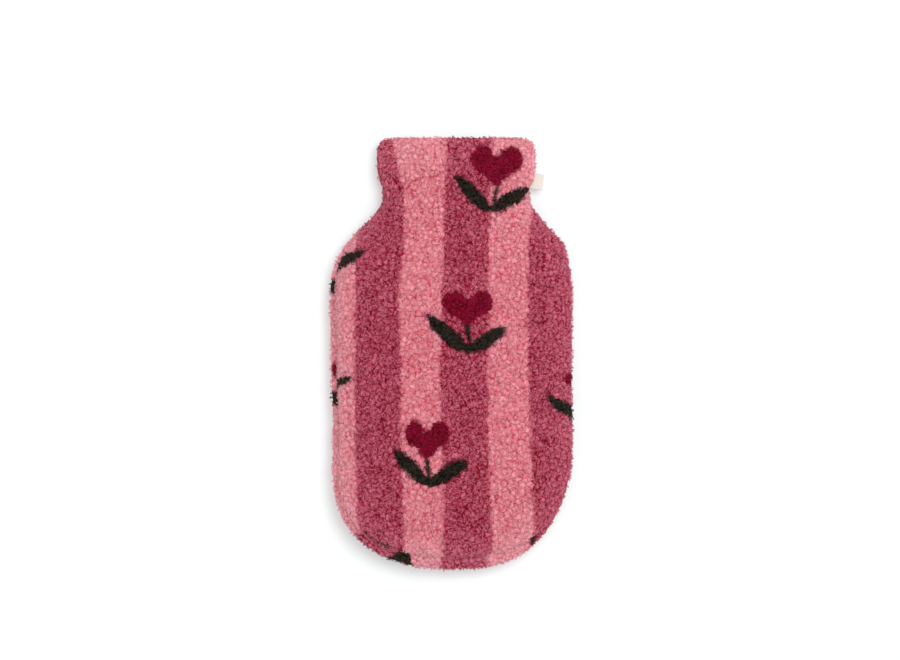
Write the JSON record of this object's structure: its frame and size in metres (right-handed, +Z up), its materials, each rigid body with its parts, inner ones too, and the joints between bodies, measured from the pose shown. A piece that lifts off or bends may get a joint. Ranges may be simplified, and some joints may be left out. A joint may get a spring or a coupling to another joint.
{
  "type": "hot water bottle cover",
  "caption": "Soft fleece pouch in a bottle's outline, with a round bottom, drawn-in shoulders and a wide neck open at its top edge, that a flat water bottle slips into.",
  "frame": {"origin": "on the surface that the cover lies on, under the middle of its outline", "axes": "+Z up, out of the front panel; +Y along the cover towards its neck and mouth; +X to the right when the front is seen with the neck at the top"},
  "size_m": [0.2074, 0.3674, 0.0469],
  "materials": {
    "teddy_fleece": "curly knitted pile in two rose stripes with a small tulip print, matte",
    "label_tape": "plain cream woven tape, matte"
  },
  "bodies": {
    "root": {"front_panel": "teddy_fleece", "back_panel": "teddy_fleece", "side_label": "label_tape"}
  },
  "joints": []
}
